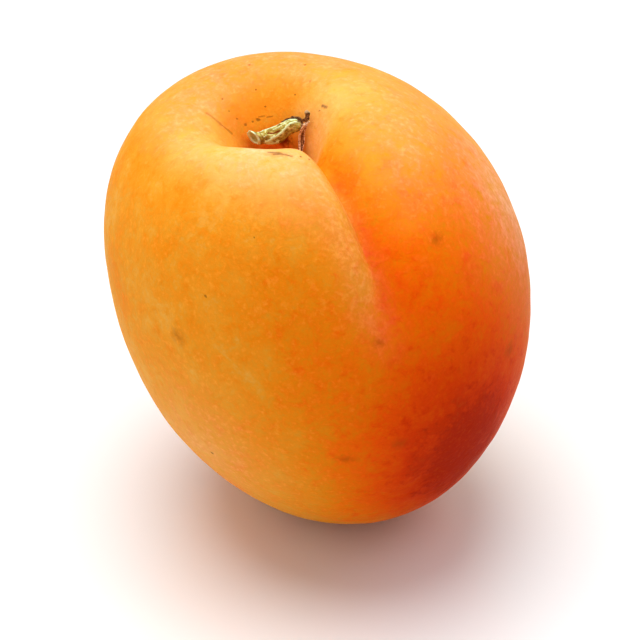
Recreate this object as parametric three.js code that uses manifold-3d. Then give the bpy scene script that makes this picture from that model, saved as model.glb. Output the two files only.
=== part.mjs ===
// A ripe apricot standing on its small flat spot, with the dry woody stalk stub
// and its bud scales still in the stem cavity.
// Millimetres, +Z up. The origin is the middle of the flat spot.
//
// The fruit grew as one piece and is one solid. It is first worked out in its own
// frame (stalk end up, suture towards -Y, middle at the origin) and then leaned
// and set down on the table plane z = 0, where its underside is pressed flat.
import * as THREE from 'three';
import Module from 'manifold-3d';

// ---- driving dimensions of the fruit ----
const HALF_CHEEKS = 23.2;        // middle to the side, across the two cheeks
const HALF_SUTURE = 26.75;       // middle to the suture, and to the back
const SHOULDER_RISE = 26.6;      // equator up to the shoulders
const TIP_DROP = 31.1;           // equator down to the tip
const SHOULDER_FULLNESS = 0.92;  // power of the profile: under 1 is fuller
const TIP_TAPER = 1.08;          // over 1 is more tapered
const TOP_SKEW = 3.2;            // sideways drift of the stalk end

const CAVITY = { depth: 12.5, halfX: 4.6, halfY: 4.8, power: 2.7, x: -1.7, y: -2.4 };
const SUTURE = {
  depthTop: 3.2, depthLow: 0.35,  // at the cavity, and below the equator
  leftTop: 0.9, leftLow: 4.0,     // width of the steep left bank, top and low
  rightTop: 3.3, rightLow: 6.0,   // width of the gentle right bank
  drift: 3.4,                     // how far it runs off to the right at the top
};
const LEFT_LIP = { height: 1.2, x: -7.75, reach: 8.0, inner: 4.25 };
const RIGHT_LIP = { height: 0.5, x: 9.0, reach: 6.0 };

// ---- how it stands ----
const TURN = 22;                 // degrees, the suture turned from -Y towards +X
const LEAN_FORWARD = 2;          // degrees, the stalk end towards -Y
const LEAN_LEFT = 12.8;          // degrees, the stalk end towards -X
const MIDDLE = new THREE.Vector3(-2.0, -0.7, 30.3);  // fruit's middle over the flat spot
const SETTLE = { depth: 1.0, reach: 8, x: -3 };  // flesh sunk towards the table under its weight
const FLAT_BLEND = 0.25;         // height over which the flat spot rounds off

// ---- mesh steps ----
const ROWS = 48;
const COLUMNS = 64;
const ROW_CROWDING = 0.6;        // rows crowd towards both ends
const COLUMN_CROWDING = 0.7;     // columns crowd towards the suture
const MOST_LEAN = 0.5;           // sine of the most that they lean to follow it

// ---- the stalk stub and its scales, from the fruit's middle, leaned as they stand ----
// along the stub: middle of the section, half height, half thickness
const STUB = [
  [-7.10, -1.28, 18.16, 0.88, 0.52], [-6.70, -1.31, 18.15, 0.86, 0.56],
  [-6.10, -1.35, 18.12, 0.70, 0.54], [-5.60, -1.38, 18.22, 0.82, 0.60],
  [-5.05, -1.42, 18.34, 0.93, 0.66], [-4.05, -1.52, 18.78, 0.94, 0.70],
  [-3.24, -1.63, 19.46, 0.80, 0.64], [-2.26, -1.78, 19.92, 0.68, 0.56],
  [-1.85, -1.84, 20.08, 0.42, 0.36],
];
const STUB_SIDES = 20;
const STUB_RIBS = 5;
const STUB_RIB_HEIGHT = 0.07;    // share of the half width
// the stub's left end is a slanting hollow mouth
const MOUTH = { share: 0.8, depth: 0.3, slantFront: 0.7, slantLow: 0.06, fade: 1.4 };
// the thin foot that goes on down the cavity wall to the floor: point and half width
const FOOT = [
  [-1.95, -1.88, 20.05, 0.30], [-1.75, -1.86, 19.2, 0.28], [-1.72, -1.95, 18.3, 0.24],
  [-1.80, -2.35, 17.4, 0.24], [-2.05, -2.95, 16.1, 0.30], [-2.4, -3.75, 14.3, 0.45],
];

const SCALE_THICKNESS = 0.2;
// each scale: foot, tip, half width, bow away from its flat side
const SCALES = {
  bud_scale_upper: {
    foot: [-1.28, -1.72, 20.72], tip: [-1.18, -1.38, 21.66], across: [1, 0.15, 0],
    halfWidth: 0.36, bow: 0.12,
  },
  bud_scale_back: {
    foot: [-1.75, -0.72, 20.72], tip: [-4.0, -0.6, 20.2], across: [0.15, 0.5, 0.9],
    halfWidth: 0.34, bow: 0.1,
  },
};

const radians = THREE.MathUtils.degToRad;

function smooth(from, to, value) {
  const t = Math.min(Math.max((value - from) / (to - from), 0), 1);
  return t * t * (3 - 2 * t);
}

const mix = (a, b, t) => a + (b - a) * t;

// Where the suture runs at a height, as a distance from the plane through the tip.
const suturePath = (up) => SUTURE.drift * smooth(0.25, 0.99, up);

// How far the suture's furrow is cut below the plain surface.
function furrow(x, y, up, down) {
  const side = x - suturePath(up);
  const crisp = smooth(0, 0.6, up);
  const width = side < 0
    ? mix(SUTURE.leftLow, SUTURE.leftTop, crisp)
    : mix(SUTURE.rightLow, SUTURE.rightTop, crisp);
  const depth = mix(SUTURE.depthLow, SUTURE.depthTop, smooth(0.05, 0.95, up))
    * smooth(0.92, 0.4, down);
  const rounded = Math.sqrt((side / width) ** 2 + 0.05) - Math.sqrt(0.05);
  return depth * Math.exp(-(rounded ** 1.25)) * smooth(-0.02, 0.3, -y / HALF_SUTURE);
}

// How far the two lips beside the suture stand over the plain surface.
function lips(x, y, up) {
  const side = x - suturePath(up);
  const fade = smooth(-0.35, 0.9, up) ** 1.3 * smooth(0, 0.35, -y / HALF_SUTURE);
  const reach = side < LEFT_LIP.x ? LEFT_LIP.reach : LEFT_LIP.inner;
  const left = LEFT_LIP.height * Math.exp(-(Math.abs((side - LEFT_LIP.x) / reach) ** 2.2));
  const right = RIGHT_LIP.height * Math.exp(-(((side - RIGHT_LIP.x) / RIGHT_LIP.reach) ** 2));
  return (left + right) * fade;
}

// A point of the fruit in its own frame. polar runs from the stalk end (0) to the
// tip (pi), around is 0 at the suture.
function fruitPoint(polar, around) {
  const upper = polar < Math.PI / 2;
  const girth = Math.sin(polar) ** (upper ? SHOULDER_FULLNESS : TIP_TAPER);
  const half = upper ? SHOULDER_RISE : TIP_DROP;
  const point = new THREE.Vector3(
    HALF_CHEEKS * girth * Math.sin(around),
    -HALF_SUTURE * girth * Math.cos(around),
    half * Math.cos(polar));
  const up = point.z / SHOULDER_RISE;
  const outward = new THREE.Vector3(
    point.x / HALF_CHEEKS ** 2, point.y / HALF_SUTURE ** 2, point.z / half ** 2).normalize();
  const swell = lips(point.x, point.y, up) - furrow(point.x, point.y, up, -point.z / TIP_DROP);
  point.addScaledVector(outward, swell);
  point.x -= TOP_SKEW * Math.max(up, 0) ** 2;
  const spread = Math.hypot((point.x - CAVITY.x) / CAVITY.halfX, (point.y - CAVITY.y) / CAVITY.halfY);
  point.z -= CAVITY.depth / (1 + spread ** CAVITY.power) * smooth(0, 0.45, up);
  return point;
}

// The fruit's lean, about its middle.
const LEAN = new THREE.Matrix4()
  .makeRotationY(radians(-LEAN_LEFT))
  .multiply(new THREE.Matrix4().makeRotationX(radians(LEAN_FORWARD)))
  .multiply(new THREE.Matrix4().makeRotationZ(radians(TURN)));

// Height over the table of flesh that would be at z: pressed flat below z = 0.
function pressed(z) {
  if (z > FLAT_BLEND) return z;
  return z < -FLAT_BLEND ? 0 : (z + FLAT_BLEND) ** 2 / (4 * FLAT_BLEND);
}

function setDown(point) {
  point.applyMatrix4(LEAN);
  const far = Math.hypot(point.x - SETTLE.x, point.y) / SETTLE.reach;
  const sunk = point.z < 0 ? SETTLE.depth * Math.exp(-far * far) : 0;
  point.add(MIDDLE);
  point.z = pressed(point.z - sunk);
  return point;
}

// A closed mesh over rings of equal length, closed at both ends to one point each.
function closedRings(rings, first, last) {
  const around = rings[0].length;
  const points = [first, ...rings.flat(), last];
  const faces = [];
  const at = (ring, k) => 1 + ring * around + (k % around);
  for (let k = 0; k < around; k++) {
    faces.push(0, at(0, k), at(0, k + 1));
    faces.push(points.length - 1, at(rings.length - 1, k + 1), at(rings.length - 1, k));
    for (let ring = 0; ring < rings.length - 1; ring++) {
      faces.push(at(ring, k), at(ring + 1, k), at(ring + 1, k + 1));
      faces.push(at(ring, k), at(ring + 1, k + 1), at(ring, k + 1));
    }
  }
  const geometry = new THREE.BufferGeometry();
  geometry.setAttribute('position',
    new THREE.Float32BufferAttribute(points.flatMap((p) => [p.x, p.y, p.z]), 3));
  geometry.setIndex(faces);
  return geometry;
}

// The columns lean with the suture, so that one of them runs along its bottom.
function fruitRing(polar) {
  const reach = suturePath(Math.cos(polar)) / (HALF_CHEEKS * Math.sin(polar));
  const lean = Math.asin(Math.min(reach, MOST_LEAN));
  const ring = [];
  for (let column = 0; column < COLUMNS; column++) {
    const even = 2 * Math.PI * column / COLUMNS - Math.PI;
    const around = even - COLUMN_CROWDING * Math.sin(even) + lean * (1 + Math.cos(even)) / 2;
    ring.push(setDown(fruitPoint(polar, around)));
  }
  return ring;
}

function fruitGeometry() {
  const rings = [];
  for (let row = 1; row < ROWS; row++) {
    const share = row / ROWS;
    rings.push(fruitRing(
      Math.PI * (share - ROW_CROWDING * Math.sin(2 * Math.PI * share) / (2 * Math.PI))));
  }
  return closedRings(rings, setDown(fruitPoint(0, 0)), setDown(fruitPoint(Math.PI, 0)));
}

// A ring of points round a centre, in the plane of the two given half axes.
function section(centre, axisA, axisB, sides, ribs = 0, ribHeight = 0) {
  const ring = [];
  for (let k = 0; k < sides; k++) {
    const angle = 2 * Math.PI * k / sides;
    const rib = 1 + ribHeight * Math.cos(ribs * angle);
    ring.push(centre.clone()
      .addScaledVector(axisA, rib * Math.cos(angle))
      .addScaledVector(axisB, rib * Math.sin(angle)));
  }
  return ring;
}

// The woody stub, with the slant and the hollow of its mouth at the left end.
function stubGeometry() {
  const centres = STUB.map(([x, y, z]) => new THREE.Vector3(x, y, z));
  const forward = centres.at(-1).clone().sub(centres[0]).normalize();
  const back = new THREE.Vector3(0, 1, 0).addScaledVector(forward, -forward.y).normalize();
  const up = new THREE.Vector3().crossVectors(forward, back);
  const ringAt = (centre, halfHeight, halfThick) => {
    const slant = 1 - smooth(0, MOUTH.fade, centre.distanceTo(centres[0]));
    const axisUp = up.clone().addScaledVector(forward, -MOUTH.slantLow * slant);
    const axisBack = back.clone().addScaledVector(forward, -MOUTH.slantFront * slant);
    return section(centre, axisUp.multiplyScalar(halfHeight), axisBack.multiplyScalar(halfThick),
      STUB_SIDES, STUB_RIBS, STUB_RIB_HEIGHT);
  };
  const [, , , mouthHeight, mouthThick] = STUB[0];
  const inner = centres[0].clone().addScaledVector(forward, MOUTH.depth);
  const innerRing = ringAt(centres[0], mouthHeight * MOUTH.share, mouthThick * MOUTH.share)
    .map((point) => point.addScaledVector(forward, MOUTH.depth));
  const rings = centres.map((centre, k) => ringAt(centre, STUB[k][3], STUB[k][4]));
  return closedRings([innerRing, ...rings], inner, centres.at(-1).clone());
}

function footGeometry() {
  const centres = FOOT.map(([x, y, z]) => new THREE.Vector3(x, y, z));
  const across = new THREE.Vector3(1, 0, 0);
  const deep = new THREE.Vector3(0, 1, 0);
  const rings = centres.map((centre, k) => section(
    centre, across.clone().multiplyScalar(FOOT[k][3]), deep.clone().multiplyScalar(FOOT[k][3]), 8));
  return closedRings(rings, centres[0].clone(), centres.at(-1).clone());
}

// A small pointed scale: a thin bowed leaf from its foot to its tip.
function scaleGeometry({ foot, tip, across, halfWidth, bow }) {
  const start = new THREE.Vector3(...foot);
  const along = new THREE.Vector3(...tip).sub(start);
  const wide = new THREE.Vector3(...across);
  wide.addScaledVector(along, -wide.dot(along) / along.lengthSq()).normalize();
  const out = new THREE.Vector3().crossVectors(along, wide).normalize();
  const rings = [0, 0.25, 0.5, 0.75, 0.92].map((share) => section(
    start.clone().addScaledVector(along, share)
      .addScaledVector(out, bow * Math.sin(Math.PI * share)),
    wide.clone().multiplyScalar(halfWidth * Math.sqrt(1 - (share * 1.15 - 0.15) ** 2)),
    out.clone().multiplyScalar(-SCALE_THICKNESS / 2), 8));
  return closedRings(rings, start, start.clone().add(along));
}

const wasm = await Module();
wasm.setup();

function asSolid(geometry) {
  return new wasm.Manifold(new wasm.Mesh({
    numProp: 3,
    vertProperties: geometry.attributes.position.array,
    triVerts: new Uint32Array(geometry.index.array),
  }));
}

// The stub and its foot grew as one, so they are one solid.
function stalkGeometry() {
  const joined = asSolid(stubGeometry()).add(asSolid(footGeometry())).getMesh();
  const geometry = new THREE.BufferGeometry();
  geometry.setAttribute('position', new THREE.BufferAttribute(joined.vertProperties, 3));
  geometry.setIndex(Array.from(joined.triVerts));
  return geometry;
}

function piece(name, geometry, color, roughness) {
  geometry.computeVertexNormals();
  const material = new THREE.MeshStandardMaterial({ color, roughness, metalness: 0 });
  const mesh = new THREE.Mesh(geometry, material);
  mesh.name = name;
  return mesh;
}

const inCavity = new THREE.Group();
inCavity.position.copy(MIDDLE);
inCavity.add(piece('stalk', stalkGeometry(), 0xa8975a, 0.8));
for (const [name, shape] of Object.entries(SCALES)) {
  inCavity.add(piece(name, scaleGeometry(shape), 0x4a3428, 0.85));
}

const apricot = new THREE.Group();
apricot.add(piece('fruit', fruitGeometry(), 0xf0922e, 0.55));
apricot.add(inCavity);

export default apricot;
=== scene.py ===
"""The looks of a ripe apricot that stands on its small flat spot, with a dry stalk stub in its stem cavity.

The fruit is made again from the driving dimensions of its solid, with a fine mesh and the relief of its skin.
Lengths are in millimetres until a mesh is made, and the row frame is the solid's: +Z up, table at z = 0.
"""

import math

import bpy
import numpy as np
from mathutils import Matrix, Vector


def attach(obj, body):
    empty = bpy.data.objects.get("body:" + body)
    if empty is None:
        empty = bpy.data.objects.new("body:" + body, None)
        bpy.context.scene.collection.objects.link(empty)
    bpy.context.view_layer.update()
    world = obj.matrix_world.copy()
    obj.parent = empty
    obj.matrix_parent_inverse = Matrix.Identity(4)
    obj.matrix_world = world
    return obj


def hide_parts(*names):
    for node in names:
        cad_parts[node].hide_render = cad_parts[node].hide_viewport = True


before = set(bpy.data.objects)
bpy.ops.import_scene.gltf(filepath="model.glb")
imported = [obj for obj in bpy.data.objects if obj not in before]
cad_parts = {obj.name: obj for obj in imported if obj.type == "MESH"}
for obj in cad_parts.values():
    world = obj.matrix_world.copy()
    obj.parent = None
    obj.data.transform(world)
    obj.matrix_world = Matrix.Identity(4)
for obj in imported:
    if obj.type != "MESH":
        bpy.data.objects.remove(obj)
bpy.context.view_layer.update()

MM = 0.001
BODY = "root"

# ---- the fruit's driving dimensions, as in its solid ----
HALF_CHEEKS = 23.2
HALF_SUTURE = 26.75
SHOULDER_RISE = 26.6
TIP_DROP = 31.1
SHOULDER_FULLNESS = 0.92
TIP_TAPER = 1.08
TOP_SKEW = 3.2
CAVITY_DEPTH = 12.5
CAVITY_HALF = (4.6, 4.8)
CAVITY_POWER = 2.7
CAVITY_AT = (-1.7, -2.4)
SUTURE_DEPTH_TOP = 3.2
SUTURE_DEPTH_LOW = 0.35
SUTURE_LEFT = (4.0, 0.9)     # width of the steep left bank, low and at the top
SUTURE_RIGHT = (6.0, 3.3)    # width of the gentle right bank
SUTURE_DRIFT = 3.4
LEFT_LIP_HEIGHT = 1.2
LEFT_LIP_AT = -7.75
LEFT_LIP_REACH = 8.0
LEFT_LIP_INNER = 4.25
RIGHT_LIP_HEIGHT = 0.5
RIGHT_LIP_AT = 9.0
RIGHT_LIP_REACH = 6.0

# ---- how it stands ----
TURN = math.radians(22)
LEAN_FORWARD = math.radians(2)
LEAN_LEFT = math.radians(12.8)
MIDDLE = np.array((-2.0, -0.7, 30.3))
SETTLE_DEPTH = 1.0
SETTLE_REACH = 8
SETTLE_AT = -3
FLAT_BLEND = 0.25

# ---- mesh steps of the fine fruit ----
ROWS = 270
COLUMNS = 350
ROW_CROWDING = 0.45
COLUMN_CROWDING = 0.55
MOST_LEAN = 0.5


def smooth(low, high, value):
    """0 below low, 1 above high, and an even slope between."""
    t = np.clip((value - low) / (high - low), 0, 1)
    return t * t * (3 - 2 * t)


def mix(a, b, t):
    return a + (b - a) * t


def cloud(points, size, seed):
    """Smooth random values from -1 to 1 at points, with lumps about size across."""
    rng = np.random.default_rng(seed)
    lattice = rng.uniform(-1, 1, (64, 64, 64))
    scaled = points / size + 500
    cell = np.floor(scaled).astype(int)
    part = scaled - cell
    part = part * part * (3 - 2 * part)
    total = 0
    for corner in np.ndindex(2, 2, 2):
        weight = np.prod(np.where(corner, part, 1 - part), axis=-1)
        total = total + weight * lattice[tuple(np.moveaxis((cell + corner) % 64, -1, 0))]
    return total


# ---------------------------------------------------------------- the fruit's form

def suture_path(up):
    """Where the suture runs at a height, off the plane through the tip."""
    return SUTURE_DRIFT * smooth(0.25, 0.99, up)


def furrow(side, y, up, down):
    """How far the suture's furrow is cut below the plain surface."""
    crisp = smooth(0, 0.6, up)
    width = np.where(side < 0, mix(*SUTURE_LEFT, crisp), mix(*SUTURE_RIGHT, crisp))
    depth = mix(SUTURE_DEPTH_LOW, SUTURE_DEPTH_TOP, smooth(0.05, 0.95, up)) * smooth(0.92, 0.4, down)
    rounded = np.sqrt((side / width) ** 2 + 0.05) - math.sqrt(0.05)
    return depth * np.exp(-rounded ** 1.25) * smooth(-0.02, 0.3, -y / HALF_SUTURE)


def lips(side, y, up):
    """How far the two lips beside the suture stand over the plain surface."""
    fade = smooth(-0.35, 0.9, up) ** 1.3 * smooth(0, 0.35, -y / HALF_SUTURE)
    reach = np.where(side < LEFT_LIP_AT, LEFT_LIP_REACH, LEFT_LIP_INNER)
    left = LEFT_LIP_HEIGHT * np.exp(-np.abs((side - LEFT_LIP_AT) / reach) ** 2.2)
    right = RIGHT_LIP_HEIGHT * np.exp(-((side - RIGHT_LIP_AT) / RIGHT_LIP_REACH) ** 2)
    return (left + right) * fade


def cavity_spread(point):
    """How far points are from the stem cavity's middle, as a share of its half width."""
    return np.hypot((point[..., 0] - CAVITY_AT[0]) / CAVITY_HALF[0],
                    (point[..., 1] - CAVITY_AT[1]) / CAVITY_HALF[1])


def fruit_point(polar, around):
    """Points of the fruit in its own frame: polar 0 is the stalk end, around 0 is the suture."""
    upper = polar < math.pi / 2
    girth = np.sin(polar) ** np.where(upper, SHOULDER_FULLNESS, TIP_TAPER)
    half = np.where(upper, SHOULDER_RISE, TIP_DROP)
    x = HALF_CHEEKS * girth * np.sin(around)
    y = -HALF_SUTURE * girth * np.cos(around)
    z = half * np.cos(polar) + 0 * around
    up = z / SHOULDER_RISE
    side = x - suture_path(up)
    outward = np.stack([x / HALF_CHEEKS ** 2, y / HALF_SUTURE ** 2, z / half ** 2], -1)
    outward /= np.linalg.norm(outward, axis=-1, keepdims=True)
    swell = lips(side, y, up) - furrow(side, y, up, -z / TIP_DROP)
    point = np.stack([x, y, z], -1) + outward * swell[..., None]
    point[..., 0] -= TOP_SKEW * np.maximum(up, 0) ** 2
    spread = cavity_spread(point)
    point[..., 2] -= CAVITY_DEPTH / (1 + spread ** CAVITY_POWER) * smooth(0, 0.45, up)
    return point


def turned(point, axis, angle):
    """point turned by the right-hand rule about a row axis: 0 is X, 1 is Y, 2 is Z."""
    a, b = [(1, 2), (2, 0), (0, 1)][axis]
    out = point.copy()
    out[..., a] = point[..., a] * math.cos(angle) - point[..., b] * math.sin(angle)
    out[..., b] = point[..., a] * math.sin(angle) + point[..., b] * math.cos(angle)
    return out


def set_down(point):
    """Points of the fruit leaned as it stands and pressed flat on the table."""
    point = turned(turned(turned(point, 2, TURN), 0, LEAN_FORWARD), 1, -LEAN_LEFT)
    far = np.hypot(point[..., 0] - SETTLE_AT, point[..., 1]) / SETTLE_REACH
    sunk = np.where(point[..., 2] < 0, SETTLE_DEPTH * np.exp(-far * far), 0)
    point = point + MIDDLE
    z = point[..., 2] - sunk
    rounded = np.clip(z + FLAT_BLEND, 0, None) ** 2 / (4 * FLAT_BLEND)
    point[..., 2] = np.where(z > FLAT_BLEND, z, rounded)
    return point


def fruit_grid():
    """The polar and around angles of the fine mesh, crowded at both ends and at the suture."""
    share = np.arange(1, ROWS) / ROWS
    polar = math.pi * (share - ROW_CROWDING * np.sin(2 * math.pi * share) / (2 * math.pi))
    even = 2 * math.pi * np.arange(COLUMNS) / COLUMNS - math.pi
    polar, even = np.meshgrid(polar, even, indexing="ij")
    reach = suture_path(np.cos(polar)) / (HALF_CHEEKS * np.sin(polar))
    lean = np.arcsin(np.minimum(reach, MOST_LEAN))
    return polar, even - COLUMN_CROWDING * np.sin(even) + lean * (1 + np.cos(even)) / 2


def grid_normals(rings):
    """Outward directions at the points of closed rings that run down from the top."""
    round_ = np.roll(rings, -1, axis=1) - np.roll(rings, 1, axis=1)
    down = np.gradient(rings, axis=0)
    normal = np.cross(down, round_)
    return normal / (np.linalg.norm(normal, axis=-1, keepdims=True) + 1e-9)


def skin_relief(points):
    """Low lumps of the flesh, shallow dimples and the finest waves that the mesh can hold."""
    lumps = 0.16 * cloud(points, 9.0, 11) + 0.07 * cloud(points, 4.2, 12)
    dimples = 0.03 * cloud(points, 2.0, 13) + 0.014 * cloud(points, 1.1, 14)
    return lumps + dimples


# ---------------------------------------------------------------- meshes

def closed_rings(rings, first, last):
    """Points and faces of a closed skin over rings, closed at both ends to one point each."""
    count, around = rings.shape[:2]
    points = np.concatenate([first[None], rings.reshape(-1, 3), last[None]])
    at = 1 + np.arange(count)[:, None] * around + np.arange(around)
    nxt = np.roll(at, -1, axis=1)
    quads = np.stack([at[:-1], at[1:], nxt[1:], nxt[:-1]], -1).reshape(-1, 4)
    top = np.stack([np.zeros(around, int), at[0], nxt[0]], -1)
    bottom = np.stack([np.full(around, len(points) - 1), nxt[-1], at[-1]], -1)
    return points, quads.tolist() + top.tolist() + bottom.tolist()


def make_piece(name, points, faces, finish, stands_for=(), facts=None):
    """A smooth mesh piece in metres, with one number a point for each fact that its finish reads."""
    mesh = bpy.data.meshes.new(name)
    mesh.from_pydata((points * MM).tolist(), [], faces)
    mesh.polygons.foreach_set("use_smooth", np.ones(len(mesh.polygons), bool))
    for fact, values in (facts or {}).items():
        mesh.attributes.new(fact, "FLOAT", "POINT").data.foreach_set("value", np.asarray(values, "f"))
    mesh.materials.append(finish.material)
    piece = bpy.data.objects.new(name, mesh)
    bpy.context.scene.collection.objects.link(piece)
    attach(piece, BODY)
    if stands_for:
        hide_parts(*stands_for)
    return piece


# ---------------------------------------------------------------- shader sums

class Wire:
    """One output of a shader node. Sums written on it add Math nodes."""

    def __init__(self, finish, socket):
        self.finish = finish
        self.socket = socket

    def sum(self, operation, *values):
        return self.finish.node("ShaderNodeMath", {"operation": operation}, dict(enumerate(values)))

    def __add__(self, other):
        return self.sum("ADD", self, other)

    def __sub__(self, other):
        return self.sum("SUBTRACT", self, other)

    def __rsub__(self, other):
        return self.sum("SUBTRACT", other, self)

    def __mul__(self, other):
        return self.sum("MULTIPLY", self, other)

    def __pow__(self, other):
        return self.sum("POWER", self, other)

    __radd__ = __add__
    __rmul__ = __mul__

    def most(self, other):
        return self.sum("MAXIMUM", self, other)

    def step(self, low, high):
        """0 below low, 1 above high, with an even slope between; high may be the lower of the two."""
        rising = low < high
        return self.finish.node(
            "ShaderNodeMapRange", {"interpolation_type": "SMOOTHSTEP"},
            {"Value": self, "From Min": min(low, high), "From Max": max(low, high),
             "To Min": 0.0 if rising else 1.0, "To Max": 1.0 if rising else 0.0})


class Finish:
    """A material built node by node round one Principled shader."""

    def __init__(self, name, **constants):
        self.material = bpy.data.materials.new(name)
        self.material.use_nodes = True
        self.tree = self.material.node_tree
        self.shader = self.tree.nodes["Principled BSDF"]
        for socket, value in constants.items():
            self.shader.inputs[socket.replace("_", " ")].default_value = value

    def node(self, kind, settings=None, inputs=None, output=0):
        made = self.tree.nodes.new(kind)
        for key, value in (settings or {}).items():
            if key == "stops":
                self.set_stops(made.color_ramp, value)
            else:
                setattr(made, key, value)
        for key, value in (inputs or {}).items():
            if isinstance(value, Wire):
                self.tree.links.new(value.socket, made.inputs[key])
            else:
                made.inputs[key].default_value = value
        return Wire(self, made.outputs[output])

    @staticmethod
    def set_stops(ramp, stops):
        while len(ramp.elements) < len(stops):
            ramp.elements.new(1.0)
        for element, (position, colour) in zip(ramp.elements, stops):
            element.position = position
            element.color = (*colour, 1)

    def drive(self, socket, wire):
        self.tree.links.new(wire.socket, self.shader.inputs[socket])

    def place(self):
        """The point's place in the row frame, in millimetres."""
        here = self.node("ShaderNodeTexCoord", output="Object")
        return self.node("ShaderNodeVectorMath", {"operation": "SCALE"}, {0: here, "Scale": 1 / MM})

    def fact(self, name):
        return self.node("ShaderNodeAttribute", {"attribute_name": name}, output="Fac")

    def noise(self, at, size, detail=2.0, warp=0.0, rough=0.5):
        """Cloudy values round 0.5, with lumps about size millimetres across."""
        return self.node("ShaderNodeTexNoise", {}, {
            "Vector": at, "Scale": 1 / size, "Detail": detail, "Distortion": warp, "Roughness": rough})

    def ramp(self, value, stops):
        return self.node("ShaderNodeValToRGB", {"stops": stops}, {"Fac": value})

    def blend(self, share, first, second, way="MIX"):
        """first and second as colours, mixed by share."""
        return self.node("ShaderNodeMix", {"data_type": "RGBA", "blend_type": way},
                         {0: share, 6: first, 7: second}, output=2)

    def near(self, at, centre, radii):
        """How far a place is from a centre, as a share of three radii."""
        offset = self.node("ShaderNodeVectorMath", {"operation": "SUBTRACT"}, {0: at, 1: tuple(centre)})
        shrunk = self.node("ShaderNodeVectorMath", {"operation": "DIVIDE"}, {0: offset, 1: tuple(radii)})
        return self.node("ShaderNodeVectorMath", {"operation": "LENGTH"}, {0: shrunk}, output="Value")

    def off_line(self, at, first, last):
        """How far a place is from the line between two places, in millimetres."""
        along = np.subtract(last, first)
        offset = self.node("ShaderNodeVectorMath", {"operation": "SUBTRACT"}, {0: at, 1: tuple(first)})
        reach = self.node("ShaderNodeVectorMath", {"operation": "DOT_PRODUCT"},
                          {0: offset, 1: tuple(along / along.dot(along))}, output="Value")
        share = self.node("ShaderNodeMath", {"operation": "MULTIPLY", "use_clamp": True}, {0: reach, 1: 1.0})
        foot = self.node("ShaderNodeVectorMath", {"operation": "SCALE"}, {0: tuple(along), "Scale": share})
        return self.node("ShaderNodeVectorMath", {"operation": "DISTANCE"}, {0: offset, 1: foot},
                         output="Value")

    def relief(self, height, depth, strength=1.0):
        """Bumps as deep as depth millimetres where height goes from 0 to 1."""
        bump = self.node("ShaderNodeBump", {},
                         {"Strength": strength, "Distance": depth * MM, "Height": height})
        self.drive("Normal", bump)


# ---------------------------------------------------------------- the fruit

def lobe(polar, around, at_polar, at_around, reach):
    """1 at a place on the fruit, given in degrees, and fading over reach degrees."""
    middle = math.radians(at_polar)
    turn = around - math.radians(at_around)
    cosine = np.cos(polar) * math.cos(middle) + np.sin(polar) * math.sin(middle) * np.cos(turn)
    return np.exp(-(np.arccos(np.clip(cosine, -1, 1)) / math.radians(reach)) ** 2)


def beside_suture(polar, around):
    """The height, 1 at the shoulders, and the millimetres to the right of the suture's path."""
    up = np.cos(polar) * np.where(polar < math.pi / 2, 1, TIP_DROP / SHOULDER_RISE)
    return up, HALF_CHEEKS * np.sin(polar) * np.sin(around) - suture_path(up)


def blush_and_painted_shade_of(polar, around):
    """How red the skin is: deepest low beside the suture, where the deep red is partly painted shade, palest
    on the left lip.
    """
    up, side = beside_suture(polar, around)
    soft = mix(7.0, 0.8, smooth(0.1, 0.65, up))
    right = smooth(-soft, soft, side) * smooth(0.15, 0.65, np.cos(around)) * smooth(0.9, 0.4, up)
    blush = 0.17 + 0.16 * right
    # the deep red low on the right is partly the skin's blush and partly painted shade
    blush = blush + 0.68 * lobe(polar, around, 118, 14, 33) + 0.10 * lobe(polar, around, 118, -8, 26)
    blush = blush + 0.18 * lobe(polar, around, 75, -12, 30)
    blush = blush + 0.12 * lobe(polar, around, 25, 110, 50)
    blush = blush + 0.22 * lobe(polar, around, 95, 175, 45)
    blush = blush + 0.08 * lobe(polar, around, 84, 60, 20) + 0.08 * lobe(polar, around, 67, 26, 16)
    blush = blush - 0.24 * lobe(polar, around, 18, 62, 12) - 0.42 * lobe(polar, around, 15.5, 60, 6.5)
    return blush - 0.22 * lobe(polar, around, 22, -20, 16) - 0.16 * lobe(polar, around, 5.5, -100, 5)


def hollow_of(polar, around):
    """How deep in the stem cavity a point lies, from 0 to 1."""
    point = fruit_point(polar, around)
    spread = cavity_spread(point)
    return smooth(0, 0.45, np.cos(polar)) / (1 + spread ** CAVITY_POWER)


def painted_highlight_of(rings):
    """Painted highlight: how much paler the skin is painted where it faces up to the light."""
    return smooth(0.55, 1.0, grid_normals(rings)[..., 2])


def painted_flank_sheen_of(polar, around):
    """Painted sheen: paler skin colour on the two flanks."""
    return 2.0 * lobe(polar, around, 75, 64, 19) + 0.8 * lobe(polar, around, 106, -66, 18)


def painted_shade_of(polar, around):
    """Painted shade, as darker skin colour: low towards the tip, on the left lip's crest, and on the cavity
    wall by the stub.
    """
    shade = 0.32 * lobe(polar, around, 130, 12, 48) + 0.12 * lobe(polar, around, 47, -12, 17)
    return shade + 0.20 * lobe(polar, around, 3.0, -141, 4)


def bank_of(polar, around):
    """1 in the suture's furrow, fading over its right bank."""
    up, side = beside_suture(polar, around)
    width = np.where(side < 0, mix(3.0, 0.6, smooth(0.15, 0.5, up)), 4.2)
    lower = smooth(0.0, 0.5, up) * smooth(8, 22, np.degrees(polar))
    return np.exp(-(side / width) ** 2) * lower * smooth(0, 0.4, np.cos(around))


def seam_of(polar, around):
    """1 along the left lip's edge beside the suture, where the felt is thickest."""
    up, side = beside_suture(polar, around)
    beside = np.exp(-((side + 1.6) / 2.0) ** 2) * smooth(0, 0.4, np.cos(around))
    return beside * smooth(0.05, 0.5, up) * smooth(0.95, 0.75, up)


def surface_at(at_polar, at_around):
    """A place on the fruit's skin in the row frame, from its angles in degrees."""
    return set_down(fruit_point(np.radians(at_polar), np.radians(at_around)))


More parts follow.
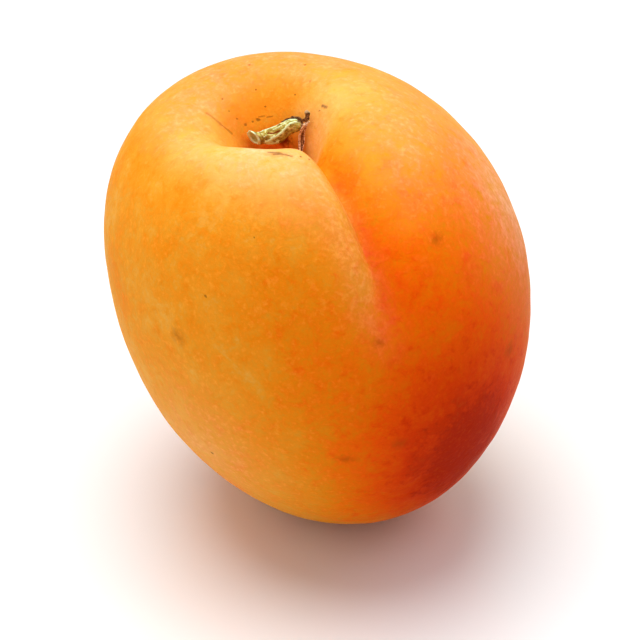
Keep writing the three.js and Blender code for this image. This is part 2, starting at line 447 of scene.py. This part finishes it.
# each mark: polar and around in degrees, and half its length along X, Y and Z
SPECKS = [
    (17, 152, 0.22, 0.2, 0.18), (18.5, 97, 0.2, 0.2, 0.18), (22, 113, 0.18, 0.2, 0.16),
    (60, -48, 0.2, 0.3, 0.2), (106, -63, 0.24, 0.3, 0.22), (8, -164, 0.16, 0.2, 0.16),
    (5.7, -117, 0.2, 0.2, 0.18), (4.2, 27, 0.26, 0.28, 0.24), (10, 142, 0.13, 0.15, 0.13),
    (3.8, 172, 0.24, 0.25, 0.2), (14, 101, 0.12, 0.15, 0.12), (46, -28, 0.1, 0.2, 0.1),
    (5.6, 138, 0.26, 0.25, 0.2), (4.7, 150, 0.14, 0.15, 0.12), (4.7, -16, 0.16, 0.2, 0.14),
    (4.5, -169, 0.2, 0.2, 0.14), (8.2, 128, 0.14, 0.15, 0.12), (5.8, -160, 0.14, 0.15, 0.12),
    (26.9, 3.8, 0.16, 0.2, 0.14), (28.4, 6.6, 0.2, 0.2, 0.14), (177, 0, 0.6, 0.6, 0.5),
]
BRUISES = [
    (76.5, -5, 0.9, 1.2, 0.8), (103, -7, 1.4, 1.4, 1.0), (103.5, -22, 1.3, 1.3, 0.9),
    (98, 34, 1.4, 1.5, 1.2), (72, -60, 1.2, 1.5, 1.3), (118, 80, 2.0, 2.0, 1.6),
    (23.9, -6.5, 1.9, 0.8, 0.6), (61.6, 23.5, 1.2, 1.3, 1.0),
]
# painted shadow: a dark patch on the cavity floor under the stub
PAINTED_STUB_SHADOW = [(7.4, 96, 1.0, 1.1, 1.1)]
# each streak: polar and around of its two ends, and its half width
SCARS = [
    (24.0, -8.0, 24.2, -4.0, 0.19), (24.2, -4.0, 26.0, -0.4, 0.22), (22.6, -10, 23.4, -5.0, 0.28),
    (17.6, -30, 18.6, -26, 0.12), (18.6, 73, 19.6, 69, 0.30),
    (17.3, 73, 17.8, 72, 0.12),
]
# painted shadow: a dark line on the cavity's right wall beside the dry strands
PAINTED_STRAND_SHADOW = [(13.4, 78.6, 11.8, 76.7, 0.20), (11.8, 76.7, 10.2, 75.5, 0.26)]
# the first two lines are scratches; the last two are painted shade down a fold of the cavity's left wall
SCRATCHES_AND_FOLD_SHADE = [
    (6.0, 137, 6.8, 128, 0.10), (7.0, 124, 7.9, 117, 0.09), (8.8, -121, 6.0, -117, 0.26),
    (6.0, -117, 4.0, -119, 0.18),
]
BLUSH_STOPS = [
    (0.00, (0.97, 0.43, 0.060)), (0.16, (0.91, 0.330, 0.018)), (0.32, (0.91, 0.255, 0.005)),
    (0.50, (0.94, 0.170, 0.0012)), (0.68, (0.91, 0.090, 0.0006)), (0.84, (0.78, 0.045, 0.0005)),
    (1.00, (0.52, 0.020, 0.0004)),
]


def strongest(wires):
    total = wires[0]
    for wire in wires[1:]:
        total = total.most(wire)
    return total


def marks(finish, at, places, torn, inside=0.4):
    """How strongly a place is marked: 1 inside the marks, with torn edges."""
    return strongest([(finish.near(at, surface_at(at_polar, at_around), radii) + torn).step(1.2, inside)
                      for at_polar, at_around, *radii in places])


def streaks(finish, at, lines, torn):
    """How strongly a place is streaked: 1 along the lines, with torn edges."""
    return strongest([(finish.off_line(at, surface_at(*line[:2]), surface_at(*line[2:4])) * (1 / line[4])
                       + torn).step(1.2, 0.5) for line in lines])


def skin_finish():
    """Velvety skin: clouded yellow to red, a felt of fine flecks, specks, corky scars and bruises, with
    painted shade, painted shadows, a painted highlight and a painted sheen in its colour.
    """
    skin = Finish(
        "apricot_skin", Subsurface_Weight=0.25, Subsurface_Scale=0.0025,
        Subsurface_Radius=(1.0, 0.35, 0.12), Specular_IOR_Level=0.01,
        Sheen_Weight=0.21, Sheen_Roughness=0.13, Sheen_Tint=(1.0, 0.66, 0.34, 1))
    at = skin.place()
    patches = skin.noise(at, 8, 3, 0.4)
    clouds = skin.noise(at, 2.4, 4, 0.8, 0.6)
    spots = skin.noise(at, 1.3, 3, 0.3, 0.6)
    felt = skin.noise(at, 0.60, 4, 0.25, 0.6)
    grain = skin.noise(at, 0.28, 2, 0.6)
    hollow = skin.fact("hollow")
    flecks = (felt + (clouds - 0.5) * 0.5 + skin.fact("seam") * 0.10).step(0.50, 0.78)
    calm = 1.0 - skin.fact("blush").step(0.28, 0.60) * 0.5
    mottle = ((patches - 0.5) * 0.50 + (clouds - 0.5) * 0.36) * calm + (clouds - 0.5) * 0.22
    # deep in the stem cavity the colour turns redder and darker: partly the skin's own colour, partly painted
    # shade
    redness = (skin.fact("blush") + mottle + (felt - 0.5) * 0.42 + spots.step(0.50, 0.78) * 0.12
               + skin.fact("bank") * 0.12 + skin.fact("bank") ** 6 * (calm - 0.5) * 0.16
               + hollow.step(0.48, 1.0) * 0.52 - flecks * 0.06)
    colour = skin.ramp(redness, BLUSH_STOPS)
    colour = skin.blend(flecks * (0.21 - redness.step(0.3, 0.7) * 0.17), colour, (1.0, 0.56, 0.08, 1))
    # painted highlight and sheen: the colour is mixed towards pale where the skin faces up, on the flanks, on
    # the cavity walls and along the left lip's edge beside the suture
    thin = (clouds - 0.5) * 0.5 + (felt - 0.5) * 0.4 + 0.15
    bloom = (skin.fact("bloom") + skin.fact("seam") * 0.45) * thin
    colour = skin.blend(bloom, colour, (1.0, 0.62, 0.42, 1))
    # painted shade: depth darkens the colour deep in the stem cavity and in the suture's furrow, the shade
    # fact adds the painted shade low on the fruit, on the left lip's crest and by the stub, and the noise
    # terms are the skin's own uneven tone
    depth = hollow.step(0.52, 0.92) * 0.60 + skin.fact("bank") ** 4 * 0.10
    shade = (1.0 - skin.fact("shade") - depth + (felt - 0.5) * 0.26 + (grain - 0.5) * 0.14
             + (clouds - 0.5) * 0.18 + (patches - 0.5) * 0.14)
    colour = skin.blend(1.0, colour, shade, "MULTIPLY")
    torn = (clouds - 0.5) * 1.4 + (felt - 0.5) * 1.4
    bruised = marks(skin, at, BRUISES, torn * 0.8, -0.3) * 0.52
    colour = skin.blend(bruised, colour, (0.34, 0.045, 0.003, 1))
    # painted shadow under the stub
    stub_shadow_mask = marks(skin, at, PAINTED_STUB_SHADOW, torn)
    colour = skin.blend(stub_shadow_mask * 0.92, colour, (0.12, 0.006, 0.001, 1))
    corky = streaks(skin, at, SCARS, torn) * (felt.step(0.34, 0.60) * 0.50 + 0.35)
    colour = skin.blend(corky, colour, (0.21, 0.105, 0.035, 1))
    # painted shadow beside the dry strands
    strand_shadow_mask = streaks(skin, at, PAINTED_STRAND_SHADOW, torn * 0.4)
    colour = skin.blend(strand_shadow_mask * 0.6, colour, (0.30, 0.040, 0.004, 1))
    # scratches, and painted shade down the fold of the cavity's left wall
    scratch_and_fold_shade_mask = streaks(skin, at, SCRATCHES_AND_FOLD_SHADE, torn * 0.5)
    specks_scratches_and_fold_shade = marks(skin, at, SPECKS, (felt - 0.5) * 1.6).most(scratch_and_fold_shade_mask * 0.6)
    colour = skin.blend(specks_scratches_and_fold_shade * 0.62, colour, (0.16, 0.045, 0.006, 1))
    skin.drive("Base Color", colour)
    skin.drive("Roughness", (clouds - 0.5) * 0.16 + (felt - 0.5) * 0.14 + corky * 0.2 + 0.52)
    skin.relief(felt * 0.8 + grain * 0.4 + spots * 0.8 + clouds * 1.2 + corky * 0.5 - specks_scratches_and_fold_shade * 0.5,
                0.10, 0.6)
    return skin


def make_fruit():
    polar, around = fruit_grid()
    rings = set_down(fruit_point(polar, around))
    free = smooth(0.3, 3.5, rings[..., 2])
    rings = rings + grid_normals(rings) * (skin_relief(rings) * free)[..., None]
    ends = [set_down(fruit_point(np.float64(angle), np.float64(0))) for angle in (0, math.pi)]
    points, faces = closed_rings(rings, *ends)
    all_polar = np.concatenate([[0], polar.ravel(), [math.pi]])
    all_around = np.concatenate([[0], around.ravel(), [0]])
    # painted highlight where the skin faces up, kept out of the cavity and the furrow and stronger on the
    # left lip's rim, painted sheen on the flanks, and painted highlight on the cavity's right and left walls
    bloom = painted_highlight_of(rings) * (1 - hollow_of(polar, around)) * (1 - bank_of(polar, around))
    bloom = bloom * (1 + lobe(polar, around, 21, -18, 15)) + painted_flank_sheen_of(polar, around)
    bloom = bloom + 0.8 * lobe(polar, around, 16.5, 60, 7) + 0.3 * lobe(polar, around, 7, -128, 8)
    facts = {"blush": blush_and_painted_shade_of(all_polar, all_around), "hollow": hollow_of(all_polar, all_around),
             "bank": bank_of(all_polar, all_around), "seam": seam_of(all_polar, all_around),
             # the shade fact is painted shade
             "shade": painted_shade_of(all_polar, all_around),
             "bloom": np.concatenate([[bloom[0, 0]], bloom.ravel(), [bloom[-1, 0]]])}
    return make_piece("apricot_fruit", points, faces, skin_finish(), ["fruit"], facts)


# ---------------------------------------------------------------- the stalk stub and its dry scales

# the stub along its length, from the fruit's middle: centre, half height and half thickness
STUB = [
    (-7.10, -1.28, 18.16, 0.88, 0.52), (-6.70, -1.31, 18.15, 0.86, 0.56), (-6.10, -1.35, 18.12, 0.70, 0.54),
    (-5.60, -1.38, 18.22, 0.82, 0.60), (-5.05, -1.42, 18.34, 0.93, 0.66), (-4.50, -1.47, 18.50, 0.97, 0.70),
    (-4.05, -1.52, 18.78, 0.94, 0.70), (-3.70, -1.57, 19.10, 0.86, 0.68), (-3.24, -1.63, 19.46, 0.80, 0.64),
    (-2.82, -1.70, 19.74, 0.77, 0.62), (-2.26, -1.78, 19.92, 0.68, 0.56), (-1.85, -1.84, 20.08, 0.42, 0.36),
]
STUB_LENGTH = 5.6
STUB_GIRTH = 0.92
STUB_COLUMNS = 160
STUB_ROWS = 170
MOUTH_ROWS = 26
MOUTH_DEPTH = 0.3
MOUTH_SLANT = (0.70, 0.06)    # how far the mouth is cut back at the front and at the bottom
# lines on the bark: height, half width, and the line as share of the length and degrees from the top
STUB_RIDGES = [
    (0.12, 0.16, [(0.17, 8), (0.45, 20), (0.93, 16)]),
    (0.13, 0.18, [(0.17, -116), (0.30, -98), (0.44, -78), (0.62, -72), (0.80, -48), (0.93, -30)]),
    (0.13, 0.24, [(0.19, -138), (0.30, -128), (0.46, -118)]),
    (0.08, 0.12, [(0.22, -66), (0.36, -44)]),
    (0.07, 0.09, [(0.36, -18), (0.60, -22), (0.86, -10)]),
]
STUB_FURROWS = [
    (-0.17, 0.13, [(0.33, -40), (0.42, -48), (0.56, -52)]),
    (-0.10, 0.22, [(0.66, -112), (0.88, -84)]),
    (-0.05, 0.10, [(0.34, 2), (0.62, 0)]),
]


def line_relief(share, angle, lines):
    """Sum of ridges along bent lines on the unrolled bark."""
    here = np.stack([share * STUB_LENGTH, angle * STUB_GIRTH], -1)
    total = 0
    for height, width, corners in lines:
        corners = np.array([(place * STUB_LENGTH, math.radians(turn) * STUB_GIRTH)
                            for place, turn in corners])
        nearest = np.full(share.shape, 9.0)
        for first, last in zip(corners, corners[1:]):
            along = last - first
            reach = np.clip((here - first) @ along / (along @ along), 0, 1)
            nearest = np.minimum(nearest, np.linalg.norm(here - first - reach[..., None] * along, axis=-1))
        total = total + height * np.exp(-(nearest / width) ** 2)
    return total


def resampled(line, count, rounds=4):
    """Points evenly along a given line, with its corners rounded."""
    line = np.asarray(line, float)
    travel = np.concatenate([[0], np.cumsum(np.linalg.norm(np.diff(line, axis=0), axis=1))])
    even = np.linspace(0, travel[-1], count)
    out = np.stack([np.interp(even, travel, line[:, k]) for k in range(line.shape[1])], -1)
    for _ in range(rounds):
        out[1:-1] = (out[:-2] + 2 * out[1:-1] + out[2:]) / 4
    return out


def make_stub(finish):
    """The woody stub: a slanting hollow mouth at its left end, a crease, and a ridged body."""
    forward = np.subtract(STUB[-1][:3], STUB[0][:3])
    forward /= np.linalg.norm(forward)
    back = np.array((0, 1, 0)) - forward * forward[1]
    back /= np.linalg.norm(back)
    up = np.cross(forward, back)
    outside = resampled(np.array(STUB), STUB_ROWS, rounds=6)
    share = np.linspace(0, 1, STUB_ROWS)
    inward = np.linspace(1, 0, MOUTH_ROWS, endpoint=False)[::-1]
    mouth = np.repeat(outside[:1], MOUTH_ROWS, axis=0)
    mouth[:, 3:] *= (0.86 * inward ** 0.8)[:, None]
    mouth[:, :3] += forward * (MOUTH_DEPTH * (1 - inward ** 3))[:, None]
    rows = np.concatenate([mouth, outside])
    share = np.concatenate([np.zeros(MOUTH_ROWS), share])[:, None]
    hollow = np.concatenate([1 - 0.4 * inward, np.zeros(STUB_ROWS)])[:, None]
    angle = np.radians(-200 + 360 * np.arange(STUB_COLUMNS) / STUB_COLUMNS)[None, :]
    whole = (len(rows), STUB_COLUMNS)
    share, hollow, angle = (np.broadcast_to(value, whole) for value in (share, hollow, angle))
    bark = hollow == 0
    line = (line_relief(share, angle, STUB_RIDGES) + line_relief(share, angle, STUB_FURROWS)) * bark
    chip = 0.05 * np.cos(3 * angle + 1) + 0.04 * np.cos(7 * angle)
    centre, half, thick = rows[:, None, :3] + MIDDLE, rows[:, None, 3], rows[:, None, 4]
    around = np.stack([np.cos(angle), np.sin(angle), share * 0], -1)
    rough = cloud(np.concatenate([rows[:, None, :1] + 0 * around[..., :1], around[..., :2]], -1), 0.30, 21)
    grow = 1 + line + 0.03 * rough * bark + chip * smooth(0.12, 0.0, share)
    slant = MOUTH_SLANT[0] * -np.sin(angle) - MOUTH_SLANT[1] * np.cos(angle)
    slip = half * slant * smooth(0.30, 0.05, share)
    rings = (centre + up * (half * grow * np.cos(angle))[..., None]
             + back * (thick * grow * np.sin(angle))[..., None] + forward * slip[..., None])
    dark = smooth(0.60, 0.70, share) * smooth(10, 24, np.degrees(angle)) * smooth(100, 80, np.degrees(angle))
    dark = np.maximum(dark, smooth(0.93, 0.98, share) * smooth(-60, -10, np.degrees(angle)))
    points, faces = closed_rings(rings, rings[0].mean(axis=0), rings[-1].mean(axis=0) + forward * 0.03)
    facts = {name: np.concatenate([[value[0, 0]], value.ravel(), [value[-1, 0]]])
             for name, value in (("ridge", line), ("along", share), ("mouth", hollow), ("dark", dark))}
    return make_piece("stalk_stub", points, faces, finish, ["stalk"], facts)


def sweep(path, half_widths, half_thickness, across, columns=24, ripple=0.0, seed=30, cup=0.0):
    """A closed flat strip along a path: rings and their end points, wide along across."""
    path = resampled(path, len(half_widths))
    ahead = np.gradient(path, axis=0)
    ahead /= np.linalg.norm(ahead, axis=1, keepdims=True)
    across = np.asarray(across, float)
    wide = across - ahead * (ahead @ across)[:, None]
    wide /= np.linalg.norm(wide, axis=1, keepdims=True)
    out = np.cross(ahead, wide)
    angle = 2 * math.pi * np.arange(columns) / columns
    half_widths = np.asarray(half_widths, float)
    reach = half_widths[:, None] * np.cos(angle)
    thick = np.minimum(half_thickness, half_widths)[:, None] * np.sin(angle) + cup * reach ** 2
    rings = path[:, None] + wide[:, None] * reach[..., None] - out[:, None] * thick[..., None]
    rings = rings + ripple * cloud(rings, 0.4, seed)[..., None] * wide[:, None]
    return rings, path[0], path[-1]


def strip_piece(name, finish, slot, stands_for, rings, first, last, pale=1.0):
    points, faces = closed_rings(rings, first, last)
    share = np.repeat(np.linspace(0, 1, rings.shape[0]), rings.shape[1])
    facts = {"along": np.concatenate([[0], share, [1]]) * pale}
    return make_piece(name, points, faces, finish, stands_for, facts)


# thin parts from the fruit's middle: the line of their middle, and half widths along it
FOOT = [(-1.72, -1.88, 20.12), (-1.72, -1.86, 19.2), (-1.70, -1.95, 18.3), (-1.74, -2.35, 17.4),
        (-1.95, -2.95, 16.3), (-2.4, -3.7, 14.3)]
FOOT_HALF = [0.26, 0.20, 0.15, 0.15, 0.20, 0.36]
BRACTS = [
    {"half": 0.15, "path": [(-1.60, -2.12, 20.14), (-1.79, -2.22, 19.59), (-1.95, -2.22, 18.89),
                            (-2.02, -2.27, 18.22), (-2.01, -2.52, 17.65), (-1.96, -2.9, 17.1)]},
    {"half": 0.17, "path": [(-0.90, -1.62, 20.30), (-1.19, -1.82, 20.22), (-1.50, -2.05, 20.08),
                            (-1.65, -2.15, 19.69), (-1.77, -2.2, 19.25)]},
    {"half": 0.11, "path": [(-1.10, -1.72, 20.02), (-1.36, -1.88, 19.67), (-1.49, -1.86, 19.02),
                            (-1.51, -1.92, 18.43), (-1.57, -2.15, 17.75), (-1.68, -2.65, 17.1)]},
]
CURL = [(-1.22, -1.74, 20.55), (-1.02, -1.68, 20.95), (-0.90, -1.62, 21.28), (-0.98, -1.56, 21.46),
        (-1.06, -1.54, 21.40)]
SCALES = {
    "bud_scale_upper": {"path": [(-1.45, -1.80, 20.36), (-1.33, -1.75, 20.62), (-1.21, -1.6, 21.0),
                                 (-1.15, -1.5, 21.32), (-1.20, -1.42, 21.56)],
                        "across": (1, 0.15, 0), "half": 0.34, "ripple": 0.24, "pale": 1.0},
    "bud_scale_back": {"path": [(-1.62, -1.10, 19.90), (-2.00, -0.95, 20.24), (-2.45, -0.88, 20.38),
                                (-3.00, -0.86, 20.20), (-3.52, -0.86, 19.98), (-4.06, -0.88, 19.84)],
                       "across": (0.15, 0.5, 0.9), "half": 0.17, "ripple": 0.12, "pale": 0.5},
}


def make_foot(finish):
    """The thin dry foot of the stub, down the cavity wall to the floor."""
    path = np.array(FOOT) + MIDDLE
    half = np.interp(np.linspace(0, 1, 60), np.linspace(0, 1, len(FOOT_HALF)), FOOT_HALF)
    parts = sweep(path, half, 0.20, (1, 0, 0), 28, 0.06, 31)
    return strip_piece("stalk_foot", finish, "stalk_wood", (), *parts)


def make_bracts(finish):
    for number, bract in enumerate(BRACTS, 1):
        path = np.array(bract["path"]) + MIDDLE
        taper = np.sqrt(np.sin(math.pi * np.linspace(0.06, 0.97, 70)))
        parts = sweep(path, bract["half"] * taper, 0.06, (1, 0.4, 0.1), 20, 0.06, 40 + number)
        strip_piece(f"dry_bract_{number}", finish, "stalk_wood", (), *parts)


def make_curl(finish):
    """The thin brown hook beside the upper scale."""
    path = np.array(CURL) + MIDDLE
    taper = np.sqrt(np.sin(math.pi * np.linspace(0.10, 0.95, 50)))
    strip_piece("scale_curl", finish, "bud_scale", (), *sweep(path, 0.08 * taper, 0.05, (1, 0.2, 0.3), 16))


def make_scales(finish):
    """The two dark bud scales: bowed pointed blades with ragged edges."""
    for number, (name, scale) in enumerate(SCALES.items()):
        path = np.array(scale["path"]) + MIDDLE
        share = np.linspace(0, 1, 60)
        half = scale["half"] * np.sqrt(np.clip(1 - (share * 1.2 - 0.25) ** 2 / 0.93, 0.003, 1))
        parts = sweep(path, half, 0.09, scale["across"], 36, scale["ripple"], 50 + number, cup=0.5)
        strip_piece(f"dark_{name}", finish, "bud_scale", [name], *parts, pale=scale["pale"])


def stalk_finish():
    """Dry bark: cream on the ridges and the mouth's lip, olive between, brown in the furrows."""
    bark = Finish("dry_stalk_bark", Specular_IOR_Level=0.25)
    at = bark.place()
    fibre_at = bark.node("ShaderNodeVectorMath", {"operation": "MULTIPLY"}, {0: at, 1: (0.45, 1.0, 1.0)})
    fibre = bark.noise(fibre_at, 0.17, 3, 0.4, 0.65)
    stain = bark.noise(at, 0.7, 3, 0.5)
    along = bark.fact("along")
    mouth = bark.fact("mouth")
    ridge = bark.fact("ridge") + (fibre - 0.5) * 0.30 + (stain - 0.5) * 0.22
    colour = bark.ramp(stain + (fibre - 0.5) * 0.6, [
        (0.34, (0.20, 0.11, 0.012)), (0.46, (0.36, 0.28, 0.036)), (0.58, (0.50, 0.44, 0.09)),
        (0.70, (0.72, 0.66, 0.26))])
    colour = bark.blend(ridge.step(0.03, 0.09), colour, (0.72, 0.90, 0.50, 1))
    colour = bark.blend(ridge.step(-0.04, -0.12), colour, (0.26, 0.065, 0.006, 1))
    lip = along.step(0.06, 0.015) * mouth.step(0.72, 0.64)
    pith = bark.ramp(stain + (fibre - 0.5) * 0.5, [(0.34, (0.26, 0.32, 0.10)), (0.56, (0.44, 0.54, 0.24))])
    colour = bark.blend(mouth.step(0.60, 0.70), colour, pith)
    colour = bark.blend(lip, colour, (0.72, 0.94, 0.60, 1))
    crease = along + (fibre - 0.5) * 0.05 - 0.175
    crease = crease.step(-0.022, 0.0) * crease.step(0.022, 0.0)
    colour = bark.blend(crease * 0.75, colour, (0.20, 0.075, 0.012, 1))
    colour = bark.blend(bark.fact("dark") * 0.95, colour, (0.085, 0.022, 0.006, 1))
    bark.drive("Base Color", colour)
    bark.drive("Roughness", fibre * 0.25 + 0.6)
    bark.relief(fibre, 0.10, 0.8)
    return bark


# papery dry tissue: colours from its stains to its clean parts
STRAND = [(0.34, (0.14, 0.03, 0.012)), (0.46, (0.52, 0.25, 0.12)), (0.60, (0.90, 0.66, 0.42))]
CORE = [(0.36, (0.05, 0.012, 0.005)), (0.50, (0.20, 0.065, 0.02)), (0.66, (0.48, 0.26, 0.11))]


def paper_finish(name, stops):
    paper = Finish(name, Specular_IOR_Level=0.2)
    at = paper.place()
    fibre = paper.noise(at, 0.2, 3, 0.8, 0.6)
    paper.drive("Base Color", paper.ramp(fibre, stops))
    paper.drive("Roughness", fibre * 0.2 + 0.65)
    paper.relief(fibre, 0.06, 0.6)
    return paper


def scale_finish():
    """Dull dark brown with a pale dry tip."""
    husk = Finish("dark_bud_husk", Specular_IOR_Level=0.1)
    at = husk.place()
    fibre = husk.noise(at, 0.18, 3, 0.6, 0.6)
    colour = husk.ramp(fibre, [
        (0.34, (0.050, 0.014, 0.004)), (0.50, (0.17, 0.065, 0.018)), (0.66, (0.38, 0.23, 0.09))])
    tip = (husk.fact("along") + (fibre - 0.5) * 0.3).step(0.70, 0.86)
    colour = husk.blend(tip * 0.8, colour, (0.70, 0.56, 0.30, 1))
    husk.drive("Base Color", colour)
    husk.drive("Roughness", fibre * 0.25 + 0.6)
    husk.relief(fibre, 0.08, 0.8)
    return husk


# ---------------------------------------------------------------- floor, light and camera

# in metres, apart from the lens in millimetres, the angle and the light's strength
FLOOR_SIDE = 6.0
FLOOR_DROP = 0.00002
SKY_STRENGTH = 0.40
LAMP_TARGET = (0, 0, 0.03)
CAMERA_RISE = math.radians(31)
CAMERA_FAR = 0.230
LENS = 113.2
AIM_RIGHT = 0.00022           # how far right of the fruit's middle the camera looks
AIM_DROP = 0.0052             # how far below it


def make_floor():
    bpy.ops.mesh.primitive_plane_add(size=FLOOR_SIDE, location=(0, 0, -FLOOR_DROP))
    floor = bpy.context.object
    floor.name = "pale_floor"
    plain = Finish("pale_floor_paint", Base_Color=(0.97, 0.965, 0.96, 1), Roughness=0.36,
                   Metallic=0.1, Specular_IOR_Level=0.6)
    floor.data.materials.append(plain.material)


def make_lamp(name, place, power, side):
    """A soft round lamp that looks at the fruit's lower half."""
    data = bpy.data.lights.new(name, "AREA")
    data.shape = "DISK"
    data.size = side
    data.energy = power
    lamp = bpy.data.objects.new(name, data)
    lamp.location = place
    lamp.rotation_euler = (Vector(LAMP_TARGET) - Vector(place)).to_track_quat("-Z", "Y").to_euler()
    lamp.visible_camera = False
    bpy.context.scene.collection.objects.link(lamp)


def make_lights():
    world = bpy.data.worlds.new("studio")
    bpy.context.scene.world = world
    world.use_nodes = True
    sky = world.node_tree.nodes["Background"].inputs
    sky["Color"].default_value = (1, 1, 1, 1)
    sky["Strength"].default_value = SKY_STRENGTH
    make_lamp("soft_key", (-0.06, 0.05, 0.52), 2.9, 0.46)
    make_lamp("soft_side", (0.30, 0, 0.42), 0.3, 0.3)
    make_lamp("soft_front", (-0.25, -0.38, 0.50), 0.35, 0.4)


def make_camera():
    middle = Vector(MIDDLE * MM)
    direction = Vector((0, -math.cos(CAMERA_RISE), math.sin(CAMERA_RISE)))
    above = Vector((0, math.sin(CAMERA_RISE), math.cos(CAMERA_RISE)))
    aim = middle + Vector((AIM_RIGHT, 0, 0)) - above * AIM_DROP
    camera = bpy.data.objects.new("camera", bpy.data.cameras.new("camera"))
    camera.data.lens = LENS
    camera.data.sensor_width = 36
    camera.data.clip_start = 0.01
    camera.location = middle + direction * CAMERA_FAR
    camera.rotation_euler = (aim - camera.location).to_track_quat("-Z", "Y").to_euler()
    bpy.context.scene.collection.objects.link(camera)
    bpy.context.scene.camera = camera


bpy.context.scene.view_settings.view_transform = "Standard"
make_camera()
make_lights()
make_floor()
make_fruit()
bark = stalk_finish()
make_stub(bark)
make_foot(paper_finish("dry_brown_core", CORE))
make_bracts(paper_finish("dry_bract_paper", STRAND))
husk = scale_finish()
make_scales(husk)
make_curl(husk)
